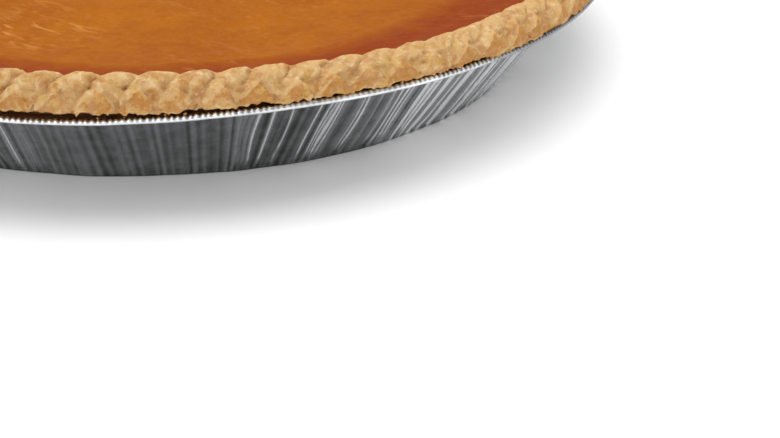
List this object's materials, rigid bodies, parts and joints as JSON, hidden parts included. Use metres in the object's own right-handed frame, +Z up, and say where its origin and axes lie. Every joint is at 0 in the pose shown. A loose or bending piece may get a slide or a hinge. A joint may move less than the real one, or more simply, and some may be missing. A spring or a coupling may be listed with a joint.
{
  "type": "pumpkin pie in a foil tin",
  "caption": "Whole round pumpkin pie with a rope-crimped pastry rim and a smooth baked custard filling, in its pressed foil tin.",
  "frame": {"origin": "middle of the underside of the tin, on the surface that it stands on", "axes": "+Z up through the middle of the pie; the pie is round, so X and Y are free"},
  "size_m": [0.3003, 0.3003, 0.0425],
  "materials": {
    "foil": "bright pressed foil with fine pleats",
    "pastry": "baked shortcrust, matte and flaky, darker where browned",
    "custard": "baked pumpkin custard with a satin skin"
  },
  "bodies": {
    "root": {"foil_tin": "foil", "pie_crust": "pastry", "pumpkin_filling": "custard"}
  },
  "joints": []
}
